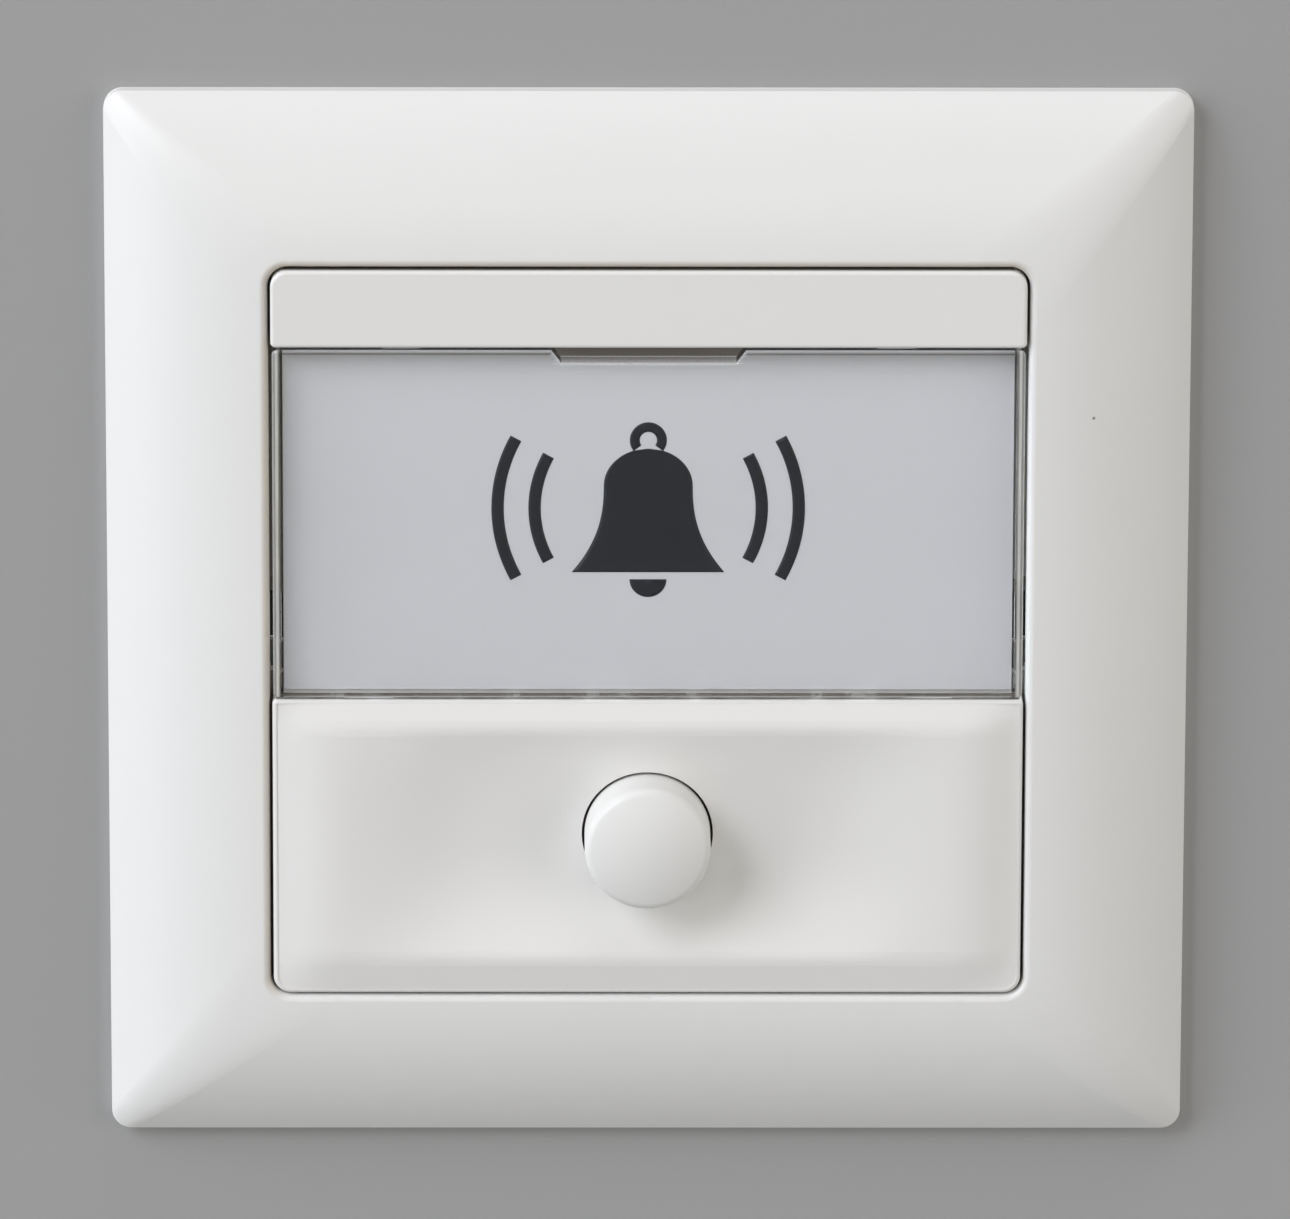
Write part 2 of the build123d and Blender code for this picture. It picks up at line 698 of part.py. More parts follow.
# Contacts, terminals and block screws, one of each at either end of the block
for side, hand in sides:
    with BuildPart() as bridge_tip:
        with BuildSketch(block_level(bridge_rear - tip_thick)):
            with Locations((side * tip_place, 0)):
                Circle(tip_radius)
        extrude(amount=tip_thick)
    bridge_tip.part.label = f"bridge_tip_{hand}"
    export_step(bridge_tip.part, f"parts/bridge_tip_{hand}.step")

    with BuildPart() as fixed_tip:
        with BuildSketch(block_level(strip_front)):
            with Locations((side * tip_place, 0)):
                Circle(tip_radius)
        extrude(amount=tip_thick)
    fixed_tip.part.label = f"fixed_tip_{hand}"
    export_step(fixed_tip.part, f"parts/fixed_tip_{hand}.step")

    strip_start = tip_place - strip_width / 2
    with BuildPart() as fixed_contact:
        with BuildSketch(block_level(strip_rear)):
            with Locations((side * (strip_start + terminal_place) / 2, 0)):
                Rectangle(terminal_place - strip_start, strip_width)
            with Locations((side * terminal_place, 0)):
                RectangleRounded(washer_width, washer_width, washer_corner)
                Circle(terminal_radius + screw_play, mode=Mode.SUBTRACT)
        extrude(amount=strip_thick)
    fixed_contact.part.label = f"fixed_contact_{hand}"
    export_step(fixed_contact.part, f"parts/fixed_contact_{hand}.step")

    with BuildPart() as clamp_washer:
        with BuildSketch(block_level(washer_rear)):
            with Locations((side * terminal_place, 0)):
                RectangleRounded(washer_width, washer_width, washer_corner)
                Circle(terminal_radius + screw_play, mode=Mode.SUBTRACT)
        extrude(amount=washer_thick)
    clamp_washer.part.label = f"clamp_washer_{hand}"
    export_step(clamp_washer.part, f"parts/clamp_washer_{hand}.step")

    with BuildPart() as terminal_screw:
        with BuildSketch(block_level(washer_rear - terminal_head_height)):
            with Locations((side * terminal_place, 0)):
                Circle(terminal_head)
        extrude(amount=terminal_head_height)
        chamfer(terminal_screw.faces().sort_by(Axis.Y)[-1].edges(), screw_chamfer)
        with BuildSketch(block_level(washer_rear)):
            with Locations((side * terminal_place, 0)):
                Circle(terminal_radius)
        extrude(amount=washer_thick + strip_thick + terminal_tail)
        with BuildSketch(block_level(washer_rear - terminal_head_height)):
            with Locations((side * terminal_place, 0)):
                Rectangle(2 * terminal_head, screw_slot)
        extrude(amount=screw_slot_depth, mode=Mode.SUBTRACT)
    terminal_screw.part.label = f"terminal_screw_{hand}"
    export_step(terminal_screw.part, f"parts/terminal_screw_{hand}.step")

    with BuildPart() as block_screw:
        with BuildSketch(block_level(ear_rear - block_screw_head_height)):
            with Locations((side * ear_place, 0)):
                Circle(block_screw_head)
        extrude(amount=block_screw_head_height)
        chamfer(block_screw.faces().sort_by(Axis.Y)[-1].edges(), screw_chamfer)
        with BuildSketch(block_level(ear_rear)):
            with Locations((side * ear_place, 0)):
                Circle(block_screw_radius)
        extrude(amount=ear_thick + cover_thick + block_screw_grip)
        with BuildSketch(block_level(ear_rear - block_screw_head_height)):
            with Locations((side * ear_place, 0)):
                Rectangle(2 * block_screw_radius, screw_slot)
                Rectangle(screw_slot, 2 * block_screw_radius)
        extrude(amount=screw_slot_depth, mode=Mode.SUBTRACT)
    block_screw.part.label = f"block_screw_{hand}"
    export_step(block_screw.part, f"parts/block_screw_{hand}.step")
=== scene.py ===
import json
from functools import reduce

import bmesh
import bpy
import numpy as np
from mathutils import Matrix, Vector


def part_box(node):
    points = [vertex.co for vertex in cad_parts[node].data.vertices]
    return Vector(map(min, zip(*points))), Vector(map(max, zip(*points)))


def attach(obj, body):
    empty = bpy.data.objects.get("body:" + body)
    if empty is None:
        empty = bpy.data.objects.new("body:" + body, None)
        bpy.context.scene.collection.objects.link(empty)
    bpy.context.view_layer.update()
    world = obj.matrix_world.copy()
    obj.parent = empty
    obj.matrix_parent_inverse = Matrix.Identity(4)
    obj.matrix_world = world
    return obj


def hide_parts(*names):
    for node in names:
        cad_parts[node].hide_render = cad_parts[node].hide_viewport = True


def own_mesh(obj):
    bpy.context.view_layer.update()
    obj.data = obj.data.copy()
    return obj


# Doorbell plate: a flush bell push with a label window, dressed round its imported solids.
# Lengths are metres in the part's own frame: X to the right, Z up, the wall at Y = 0.
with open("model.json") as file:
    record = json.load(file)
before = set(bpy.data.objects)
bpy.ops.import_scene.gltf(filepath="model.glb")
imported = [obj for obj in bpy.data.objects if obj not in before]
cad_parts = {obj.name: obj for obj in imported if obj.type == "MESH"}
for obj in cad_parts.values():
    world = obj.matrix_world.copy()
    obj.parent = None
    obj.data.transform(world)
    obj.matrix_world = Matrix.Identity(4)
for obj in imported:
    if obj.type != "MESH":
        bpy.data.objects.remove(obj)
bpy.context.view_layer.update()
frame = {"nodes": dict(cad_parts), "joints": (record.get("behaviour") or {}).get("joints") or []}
MM = 0.001


# Mounting plate: stamped sheet steel with a bright zinc plating, screwed over the wall box by
# its two slots. The front plate's hooks catch behind the edges of its opening.
class Socket:
    """An output socket that takes part in Python sums, each of which adds a Math node."""

    def __init__(self, finish, socket):
        self.finish = finish
        self.socket = socket

    def sum(self, operation, *terms):
        return self.finish.node("ShaderNodeMath", {"operation": operation}, dict(enumerate(terms)))

    def __add__(self, other):
        return self.sum("ADD", self, other)

    __radd__ = __add__

    def __sub__(self, other):
        return self.sum("SUBTRACT", self, other)

    def __rsub__(self, other):
        return self.sum("SUBTRACT", other, self)

    def __mul__(self, other):
        return self.sum("MULTIPLY", self, other)

    __rmul__ = __mul__

    def __abs__(self):
        return self.sum("ABSOLUTE", self)

    def __pow__(self, other):
        return self.sum("POWER", self, other)

    def larger(self, other):
        return self.sum("MAXIMUM", self, other)


class Finish:
    """A node tree in the making, and the one method that adds nodes to it."""

    def __init__(self, owner):
        self.owner = owner
        owner.use_nodes = True
        self.tree = owner.node_tree
        self.tree.nodes.clear()

    def node(self, kind, settings=None, sockets=None, output=0):
        """Adds a node, sets its settings and then its sockets, and gives one of its outputs."""
        made = self.tree.nodes.new(kind)
        for name, value in (settings or {}).items():
            setattr(made, name, value)
        for name, value in (sockets or {}).items():
            if isinstance(value, Socket):
                self.tree.links.new(value.socket, made.inputs[name])
            else:
                made.inputs[name].default_value = value
        return Socket(self, made.outputs[output]) if made.outputs else made

    def place(self):
        """The point on the piece in the part's frame, as a vector and as its X, Y and Z."""
        point = self.node("ShaderNodeTexCoord", output="Object")
        parts = self.node("ShaderNodeSeparateXYZ", sockets={0: point})
        return point, *(Socket(self, socket) for socket in parts.socket.node.outputs)

    def noise(self, point, size, detail=2.0, stretch=(1, 1, 1)):
        """Cloudy noise from 0 to 1 whose lumps are about this many metres across."""
        scaled = self.node("ShaderNodeMapping", None, {"Vector": point, "Scale": stretch})
        sockets = {"Vector": scaled, "Scale": 1 / size, "Detail": detail}
        return self.node("ShaderNodeTexNoise", None, sockets)

    def step(self, value, start, end, low=0.0, high=1.0):
        """Smooth step of a value, from low at start to high at end."""
        sockets = {"Value": value, "From Min": start, "From Max": end, "To Min": low, "To Max": high}
        return self.node("ShaderNodeMapRange", {"interpolation_type": "SMOOTHSTEP"}, sockets)

    def tint(self, share, first, second):
        """A colour from first, at share 0, to second, at share 1."""
        sockets = {0: share}
        for socket, colour in ((6, first), (7, second)):
            sockets[socket] = colour if isinstance(colour, Socket) else (*colour, 1.0)
        return self.node("ShaderNodeMix", {"data_type": "RGBA"}, sockets, 2)

    def from_axis(self, point, middle):
        """How far a point is from the line along Y through a middle whose own Y is 0."""
        flat = self.node("ShaderNodeVectorMath", {"operation": "MULTIPLY"}, {0: point, 1: (1, 0, 1)})
        sockets = {0: flat, 1: middle}
        return self.node("ShaderNodeVectorMath", {"operation": "DISTANCE"}, sockets, "Value")

    def ray(self, *kinds):
        """1 on light rays of any of these kinds, and 0 on others."""
        marks = [self.node("ShaderNodeLightPath", output=f"Is {kind} Ray") for kind in kinds]
        return reduce(Socket.larger, marks)

    def bump(self, height, depth):
        """A normal bent by a height from 0 to 1 that stands for this many metres."""
        return self.node("ShaderNodeBump", None, {"Height": height, "Distance": depth})

    def principled(self, sockets):
        return self.node("ShaderNodeBsdfPrincipled", None, sockets)

    def mix(self, share, first, second):
        """A shader from first, at share 0, to second, at share 1."""
        return self.node("ShaderNodeMixShader", None, {0: share, 1: first, 2: second})

    def surface(self, sockets):
        """Ends the tree with a Principled shader and gives the finished material."""
        return self.end(self.principled(sockets))

    def end(self, shader, kind="ShaderNodeOutputMaterial"):
        """Ends the tree with a shader and gives the material or world that it belongs to."""
        self.node(kind, None, {"Surface": shader})
        return self.owner


def new_finish(name):
    return Finish(bpy.data.materials.new(name))


def shaded(colour, share):
    """A colour made this share darker or, below zero, lighter."""
    return tuple(channel * (1 - share) for channel in colour)


def plated_metal(name, colour, roughness, streak, soil_and_shade=None):
    """Bright metal: rolling streaks, a cloudy film that dulls it, and painted shade where its mask says.
    """
    finish = new_finish(name)
    point, x, y, z = finish.place()
    cloud = finish.noise(point, 6 * MM, 3)
    lines = finish.noise(point, 0.4 * MM, 3, streak)
    metal = finish.tint(cloud, shaded(colour, 0.10), shaded(colour, -0.04))
    painted_shade = soil_and_shade(finish, x, y, z) if soil_and_shade else 0.0
    return finish.surface(
        {
            "Base Color": finish.tint(painted_shade, metal, shade_brown),
            "Metallic": 1 - painted_shade,
            "Roughness": roughness + 0.10 * cloud + 0.12 * lines + 0.4 * painted_shade,
            "Normal": finish.bump(lines, 0.0015 * MM),
        }
    )


def put_on(material, *nodes):
    """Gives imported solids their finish."""
    for node in nodes:
        slots = frame["nodes"][node].data.materials
        slots.clear()
        slots.append(material)


zinc_grey = (0.66, 0.67, 0.68)
# Dark brown for painted shade: in slots, gaps, recesses, the button's hole, along the card's top and at
# the window's foot.
shade_brown = (0.10, 0.08, 0.06)
plate_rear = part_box("mounting_plate")[1].y
# Painted shade round the plate's slots: how near and far from the middle, how high, and how fast it
# fades.
slot_shade_near, slot_shade_far, slot_shade_height, slot_shade_fade = 26.0 * MM, 34.8 * MM, 7.0 * MM, 0.5 * MM


def plate_slot_shade(finish, x, y, z):
    """Painted shade in the two slots and on the front round them: a box of places to each side of the
    middle, from just inside the plate's rear face."""
    inside = finish.step(y, plate_rear - 0.1 * MM, plate_rear - 0.2 * MM, 0.0, 0.9)
    across = finish.step(abs(x), slot_shade_near, slot_shade_near + slot_shade_fade)
    across = across * finish.step(abs(x), slot_shade_far, slot_shade_far - slot_shade_fade)
    return inside * across * finish.step(abs(z), slot_shade_height, slot_shade_height - slot_shade_fade)


put_on(plated_metal("plate_zinc", zinc_grey, 0.26, (0.06, 1, 1), plate_slot_shade), "mounting_plate")


# Cover frame: one thin moulding in satin white, domed like a cushion, that hides the edge of
# the wall box. The front plate clamps it. Dust has toned the top and left of the lip of its
# opening, together with painted shade where the lip faces away from the light, and the ledge
# inside carries painted shade.
def moulded_plastic(name, colour, roughness, soil_and_shade=None):
    """Satin moulding: faint flow clouds, a fine eroded grain, and soil and painted shade where its mask
    says.
    """
    finish = new_finish(name)
    point, x, y, z = finish.place()
    cloud = finish.noise(point, 14 * MM, 3)
    grain = finish.noise(point, 0.22 * MM, 2)
    paint = finish.tint(cloud, shaded(colour, 0.012), shaded(colour, -0.012))
    if soil_and_shade:
        paint = soil_and_shade(finish, paint, point, x, y, z)
    return finish.surface(
        {
            "Base Color": paint,
            "Roughness": roughness + 0.06 * cloud + 0.04 * grain,
            "Normal": finish.bump(grain, 0.0008 * MM),
        }
    )


frame_white = (0.80, 0.80, 0.79)
satin = 0.34
lip_brown = (0.44, 0.36, 0.24)
speck_grey = (0.10, 0.09, 0.08)
opening_half, opening_corner = 30.72 * MM, 1.4 * MM
speck_place = (36.0 * MM, 0.0, 18.0 * MM)


def frame_soil_and_shade(finish, paint, point, x, y, z):
    """Brown film round the top left of the opening, by the distance from its rounded square: dust
    toning with painted shade where the lip faces away from the light. Painted shade on the ledge
    inside it, and one dark speck."""
    past_x, past_z = ((abs(place) - (opening_half - opening_corner)).larger(0) for place in (x, z))
    away = (past_x * past_x + past_z * past_z) ** 0.5 - opening_corner
    # Brown film on the top and left of the lip: dust toning, and painted shade where the lip faces away
    # from the light.
    lip_film_and_shade = finish.step(away, 0.8 * MM, 0.0, 0.0, 0.6) * finish.step(z - x, -2 * MM, 2 * MM)
    # Painted shade on the ledge inside the gap.
    ledge_shade = 0.75 * finish.step(y, -4.4 * MM, -4.0 * MM) * finish.step(y, -3.3 * MM, -3.45 * MM)
    ledge_shade = ledge_shade * finish.step(away, 0.02 * MM, -0.02 * MM)
    speck = finish.step(finish.from_axis(point, speck_place), 0.15 * MM, 0.08 * MM, 0.0, 0.8)
    for share, soil_and_shade in ((lip_film_and_shade, lip_brown), (ledge_shade, shade_brown), (speck, speck_grey)):
        paint = finish.tint(share, paint, soil_and_shade)
    return paint


put_on(moulded_plastic("frame_plastic", frame_white, satin, frame_soil_and_shade), "cover_frame")


# Contact block: two mouldings in matt black behind the button, with a black plunger between
# them that the button pushes. The block is screwed to bosses on the front plate.
def block_plastic(name, colour):
    """Matt moulding with a fine eroded grain and faint flow clouds."""
    finish = new_finish(name)
    point, x, y, z = finish.place()
    cloud = finish.noise(point, 7 * MM, 3)
    grain = finish.noise(point, 0.12 * MM, 2)
    return finish.surface(
        {
            "Base Color": finish.tint(cloud, shaded(colour, 0.12), shaded(colour, -0.12)),
            "Roughness": 0.42 + 0.08 * cloud + 0.06 * grain,
            "Normal": finish.bump(grain, 0.002 * MM),
        }
    )


block_black = (0.028, 0.028, 0.031)
put_on(block_plastic("block_plastic", block_black), "contact_base", "contact_cover", "plunger")


# Contacts and terminals: stamped brass strips with riveted silver tips, and plated screws
# and washers that clamp the two bell wires.
brass = plated_metal("contact_brass", (0.78, 0.60, 0.31), 0.24, (0.08, 1, 1))
zinc = plated_metal("zinc_steel", zinc_grey, 0.26, (0.06, 1, 1))
silver = plated_metal("contact_silver", (0.86, 0.85, 0.82), 0.20, (1, 1, 1))
put_on(brass, "contact_bridge", "fixed_contact_left", "fixed_contact_right")
put_on(silver, "bridge_tip_left", "bridge_tip_right", "fixed_tip_left", "fixed_tip_right")
put_on(zinc, "clamp_washer_left", "clamp_washer_right", "terminal_screw_left", "terminal_screw_right")
put_on(zinc, "block_screw_left", "block_screw_right")


# Return spring: drawn steel wire in an open coil between the base and the bridge, which it
# pushes back after each ring.
def grid_faces(rows, columns, round_columns=False):
    """Quads of a grid of points, joined end to end where its columns go round."""
    first = np.arange(rows - 1)
    second = np.arange(columns if round_columns else columns - 1)
    row, column = np.meshgrid(first, second, indexing="ij")
    beside = (column + 1) % columns
    here, below = row * columns, (row + 1) * columns
    return np.stack([here + column, here + beside, below + beside, below + column], -1).reshape(-1, 4)


def add_piece(name, patches, material, body, closed=True):
    """A smooth mesh of patches of points and faces, its poles merged, riding on a body. A
    closed one has its faces turned outwards."""
    corners = [patch[0].reshape(-1, 3) for patch in patches]
    starts = np.cumsum([0] + [len(patch) for patch in corners[:-1]])
    points = np.concatenate(corners)
    faces = np.concatenate([patch[1] + start for patch, start in zip(patches, starts)])
    mesh = bpy.data.meshes.new(name)
    mesh.from_pydata(points.tolist(), [], faces.tolist())
    shape = bmesh.new()
    shape.from_mesh(mesh)
    bmesh.ops.remove_doubles(shape, verts=shape.verts, dist=0.0001 * MM)
    if closed:
        bmesh.ops.recalc_face_normals(shape, faces=shape.faces)
    shape.to_mesh(mesh)
    shape.free()
    mesh.polygons.foreach_set("use_smooth", np.ones(len(mesh.polygons), bool))
    mesh.set_sharp_from_angle(angle=np.radians(40))
    mesh.materials.append(material)
    piece = bpy.data.objects.new(name, mesh)
    bpy.context.scene.collection.objects.link(piece)
    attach(piece, body)
    return piece


spring_steel = plated_metal("spring_steel", (0.50, 0.50, 0.51), 0.22, (1, 1, 1))
spring_low, spring_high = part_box("return_spring")
button_low, button_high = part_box("push_button")
axis_height = (button_low.z + button_high.z) / 2
wire_radius = 0.225 * MM
coil_radius = 1.875 * MM
coil_turns = 4.0


def coil_tube():
    """A round wire carried along a helix, pinched to a point at each end to close it."""
    share = np.concatenate([[0], np.linspace(0, 1, 241), [1]])
    wire = np.where((np.arange(len(share)) % (len(share) - 1)) == 0, 0, wire_radius)
    share, turn = np.meshgrid(share, np.linspace(0, 2 * np.pi, 13)[:-1], indexing="ij")
    winding = 2 * np.pi * coil_turns * share
    reach = coil_radius + wire[:, None] * np.cos(turn)
    start, end = spring_high.y - wire_radius, spring_low.y + wire_radius
    along = start + (end - start) * share + wire[:, None] * np.sin(turn)
    points = np.stack([reach * np.sin(winding), along, axis_height + reach * np.cos(winding)], -1)
    return points, grid_faces(*share.shape, round_columns=True)


coil_spring = add_piece("coil_spring", [coil_tube()], spring_steel, "housing")
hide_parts("return_spring")
button_travel = next(joint["range_m"][1] for joint in frame["joints"] if joint["name"] == "button_press")
1 - button_travel / (spring_high.y - spring_low.y)
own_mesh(coil_spring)


# Push button: a hollow cap of the same white moulding with a domed face, and a flange behind
# the panel that stops it falling out. The part of its wall inside the hole carries painted shade.
button_white, button_satin = (0.78, 0.78, 0.765), 0.36
button_axis = (0.0, 0.0, axis_height)
button_radius, button_round = 5.125 * MM, 0.9 * MM
button_face, button_crown = 11.75 * MM, 1.03 * MM
flange_radius, flange_front, flange_rear = 6.325 * MM, 4.5 * MM, 3.3 * MM
cap_inside, cap_roof = 3.825 * MM, 9.935 * MM
stem_radius, stem_end = 2.4 * MM, 3.2 * MM


def cap_profile():
    """Radii and levels from the apex to the stem: a crown arc, a round edge that touches the
    crown and the wall, then the straight lines of the wall, flange, hollow and stem."""
    crown = (button_radius**2 + button_crown**2) / (2 * button_crown)
    crown_middle = button_face - crown
    edge_out = button_radius - button_round
    edge_level = crown_middle + np.sqrt((crown - button_round) ** 2 - edge_out**2)
    meeting = np.arctan2(edge_out, edge_level - crown_middle)
    over_crown = np.linspace(0, meeting, 20)
    over_edge = np.linspace(meeting, np.pi / 2, 12)[1:]
    arcs = [
        (crown * np.sin(over_crown), crown_middle + crown * np.cos(over_crown)),
        (edge_out + button_round * np.sin(over_edge), edge_level + button_round * np.cos(over_edge)),
    ]
    corners = [
        (button_radius, flange_front),
        (flange_radius, flange_front),
        (flange_radius, flange_rear),
        (cap_inside, flange_rear),
        (cap_inside, cap_roof),
        (stem_radius, cap_roof),
        (stem_radius, stem_end),
        (0.0, stem_end),
    ]
    return np.concatenate([np.stack(arc, -1) for arc in arcs] + [np.array(corners)])


def turned_cap():
    """The profile carried round the button's axis."""
    profile = cap_profile()
    turn = np.linspace(0, 2 * np.pi, 129)[:-1]
    reach, turn = np.meshgrid(profile[:, 0], turn, indexing="ij")
    level = np.broadcast_to(-profile[:, 1:], reach.shape)
    points = np.stack([reach * np.sin(turn), level, axis_height + reach * np.cos(turn)], -1)
    return points, grid_faces(*reach.shape, round_columns=True)


def button_hole_shade(finish, paint, point, x, y, z):
    """Painted shade on the part of the wall that stays in the panel's hole, by level and radius."""
    sunk = finish.step(y, -6.05 * MM, -5.85 * MM, 0.0, 0.9)
    wall = finish.step(finish.from_axis(point, button_axis), 4.6 * MM, 4.9 * MM)
    return finish.tint(sunk * wall, paint, shade_brown)


button_plastic = moulded_plastic("button_plastic", button_white, button_satin, button_hole_shade)
button_cap = add_piece("button_cap", [turned_cap()], button_plastic, "button")
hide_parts("push_button")


# Front plate: one warm white moulding with the bar, the platform for the card and the dished
# button panel, clipped through the mounting plate by four hooks. Painted shade darkens its gaps,
# its recess and its button's hole.
front_white = (0.80, 0.795, 0.78)
front_level = 7.15 * MM
front_half, platform_half = 30.5 * MM, 29.6 * MM
recess_low, recess_high = -5.5 * MM, 24.1 * MM
hole_radius = 5.35 * MM


def front_gap_shade(finish, paint, point, x, y, z):
    """Painted shade by depth behind the front: in the recess, thin but for a line at its foot, in the
    gap round the plate except below, and in the button's hole. None lies on the rear."""
    depth = y + front_level
    streaks = finish.noise(point, 1.2 * MM, 3, (1, 1, 0.15))
    inside = finish.step(z, recess_low - 0.05 * MM, recess_low + 0.02 * MM)
    inside = inside * finish.step(z, recess_high + 0.05 * MM, recess_high - 0.02 * MM)
    beside = finish.step(abs(x), platform_half + 0.02 * MM, platform_half + 0.06 * MM, 0.2, 0.7)
    above = z - recess_low
    film = finish.step(above, 1.0 * MM, 1.3 * MM, 0.5, 1.0) * (beside + 0.3 * streaks)
    film = film * finish.step(depth, 0.2 * MM, 0.6 * MM)
    foot = finish.step(above, 0.2 * MM, 0.1 * MM, 0.0, 0.9) * (0.5 + streaks)
    foot = foot * finish.step(depth, 0.0, 0.2 * MM)
    recess = inside * film.larger(foot)
    rim = finish.step(abs(x).larger(z) - front_half, -0.08 * MM, -0.02 * MM)
    gap = 0.75 * rim * finish.step(depth, 0.3 * MM, 0.7 * MM)
    outside = finish.from_axis(point, button_axis) - hole_radius
    hole = 0.95 * finish.step(outside, 0.05 * MM, 0.0) * finish.step(depth, 1.15 * MM, 1.35 * MM)
    near_front = finish.step(depth, 3.8 * MM, 3.6 * MM)
    return finish.tint(near_front * recess.larger(gap).larger(hole), paint, shade_brown)


put_on(moulded_plastic("front_plastic", front_white, satin, front_gap_shade), "front_plate")


# Label card and its print: a pale grey card that lies on the platform, painted lighter towards
# the top and with a painted shadow of the bar along its top edge, with a plain bell on it in a
# film of black ink 0.02 mm thick.
card_grey = (0.625, 0.615, 0.635)
ink_dark, ink_pale = (0.010, 0.011, 0.015), (0.018, 0.019, 0.024)
notch_floor, notch_half = 22.85 * MM, 7.9 * MM
card_finish = new_finish("label_card")
point, x, y, z = card_finish.place()
fibre = card_finish.noise(point, 0.5 * MM, 4, (0.4, 1, 1))
card_low, card_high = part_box("label_card")
card_middle = (card_low.z + card_high.z) / 2
card_paper = card_finish.tint(fibre, shaded(card_grey, 0.02), shaded(card_grey, -0.02))
# Painted light: the card grows lighter towards its top, where the bar's shadow falls.
painted_top_light = card_finish.step(z, card_middle, card_high.z, 0.0, 0.6)
card_paper = card_finish.tint(painted_top_light, card_paper, shaded(card_grey, -0.13))
# Painted shadow of the bar: a dark band along the card's top edge, lower where the notch is.
notch_fall = card_finish.step(abs(x), notch_half, notch_half - 0.4 * MM, 0.0, 0.3 * MM)
card_top_shadow = card_finish.step(z - card_high.z + notch_fall, -0.95 * MM, -0.75 * MM, 0.0, 0.85)
card = card_finish.surface(
    {
        "Base Color": card_finish.tint(card_top_shadow, card_paper, shade_brown),
        "Roughness": 0.62 + 0.1 * fibre,
        "Normal": card_finish.bump(fibre, 0.002 * MM),
    }
)
put_on(card, "label_card")
ink_finish = new_finish("label_ink")
point, x, y, z = ink_finish.place()
mottle = ink_finish.noise(point, 0.3 * MM, 3)
ink = ink_finish.surface(
    {
        "Base Color": ink_finish.tint(mottle, ink_dark, ink_pale),
        "Roughness": 0.45 + 0.15 * mottle,
    }
)
print_middle = np.array([0.0, card_low.y, card_middle])
bell_height, bell_shoulder, bell_mouth, bell_base = 10.4 * MM, 3.6 * MM, 6.2 * MM, -4.6 * MM
clapper_radius, clapper_height = 1.5 * MM, -5.2 * MM
loop_inner, loop_outer, loop_height, loop_dip = 0.7 * MM, 1.5 * MM, 6.5 * MM, 0.65
wave_reaches, wave_half, wave_height, wave_spread = (9.2 * MM, 12.2 * MM), 0.5 * MM, 0.8 * MM, 0.5


def print_patch(across, up):
    """A flat patch of print, from arrays of places across and up from the card's middle."""
    points = np.stack([across, np.zeros_like(across), up], -1) + print_middle
    return points, grid_faces(*across.shape)[:, ::-1]


def bell_body(height, shoulder, mouth, base):
    """Bell seen from the side: a round shoulder over 0.3 of its height, then a flare."""
    fall, side = np.meshgrid(np.linspace(0, 1, 60), np.linspace(-1, 1, 25), indexing="ij")
    dome = np.sqrt(1 - (1 - np.clip(fall / 0.3, 0, 1)) ** 2)
    flare = np.clip((fall - 0.3) / 0.7, 0, 1) ** 2.4
    half = shoulder * dome + (mouth - shoulder) * flare
    return print_patch(side * half, base + height * (1 - fall))


def ring_arc(inner, outer, height, first, last):
    """A band between two radii from one angle to another, about a point above the middle."""
    radii, turns = np.linspace(inner, outer, 5), np.linspace(first, last, 41)
    reach, turn = np.meshgrid(radii, turns, indexing="ij")
    return print_patch(reach * np.cos(turn), height + reach * np.sin(turn))


bell_print = [
    bell_body(bell_height, bell_shoulder, bell_mouth, bell_base),
    ring_arc(0.0, clapper_radius, clapper_height, -np.pi, 0),
    ring_arc(loop_inner, loop_outer, loop_height, -loop_dip, np.pi + loop_dip),
]
for side in (0, np.pi):
    for reach in wave_reaches:
        inner, outer = reach - wave_half, reach + wave_half
        bell_print.append(ring_arc(inner, outer, wave_height, side - wave_spread, side + wave_spread))
label_print = add_piece("label_print", bell_print, ink, "housing", closed=False)
film = label_print.modifiers.new("film", "SOLIDIFY")
film.thickness = 0.02 * MM
film.offset = 1.0


# Label window: clear polished acrylic moulding with a return down each side, tilted out by
# the nail notch in its top edge. A white band and a lighter line on the side edges are painted
# glints and reflections, the notch floor is painted as a light band, and a painted dark line
# of shade runs along its foot.
window_low, window_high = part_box("label_window")
edge_width, line_inward = 0.6 * MM, 0.36 * MM
window_foot = -5.3 * MM
acrylic_clear, acrylic_shade = (0.965, 0.975, 0.97, 1.0), (0.94, 0.95, 0.95, 1.0)
glint_white = (0.62, 0.62, 0.60, 1.0)
clear_finish = new_finish("clear_plastic")
point, x, y, z = clear_finish.place()
haze = clear_finish.noise(point, 5 * MM, 3)
glint_streaks = clear_finish.noise(point, 0.25 * MM, 3, (1, 1, 0.1))
rounded = clear_finish.node("ShaderNodeBevel", {"samples": 6}, {"Radius": 0.15 * MM})
acrylic = clear_finish.principled(
    {
        "Base Color": acrylic_clear,
        "Roughness": 0.01 + 0.02 * haze,
        "IOR": 1.49,
        "Transmission Weight": 1.0,
        "Normal": rounded,
    }
)
painted_glint = clear_finish.principled({"Base Color": glint_white, "Roughness": 0.3, "Normal": rounded})
foot_shade = clear_finish.principled({"Base Color": (*shade_brown, 1.0), "Roughness": 0.6})
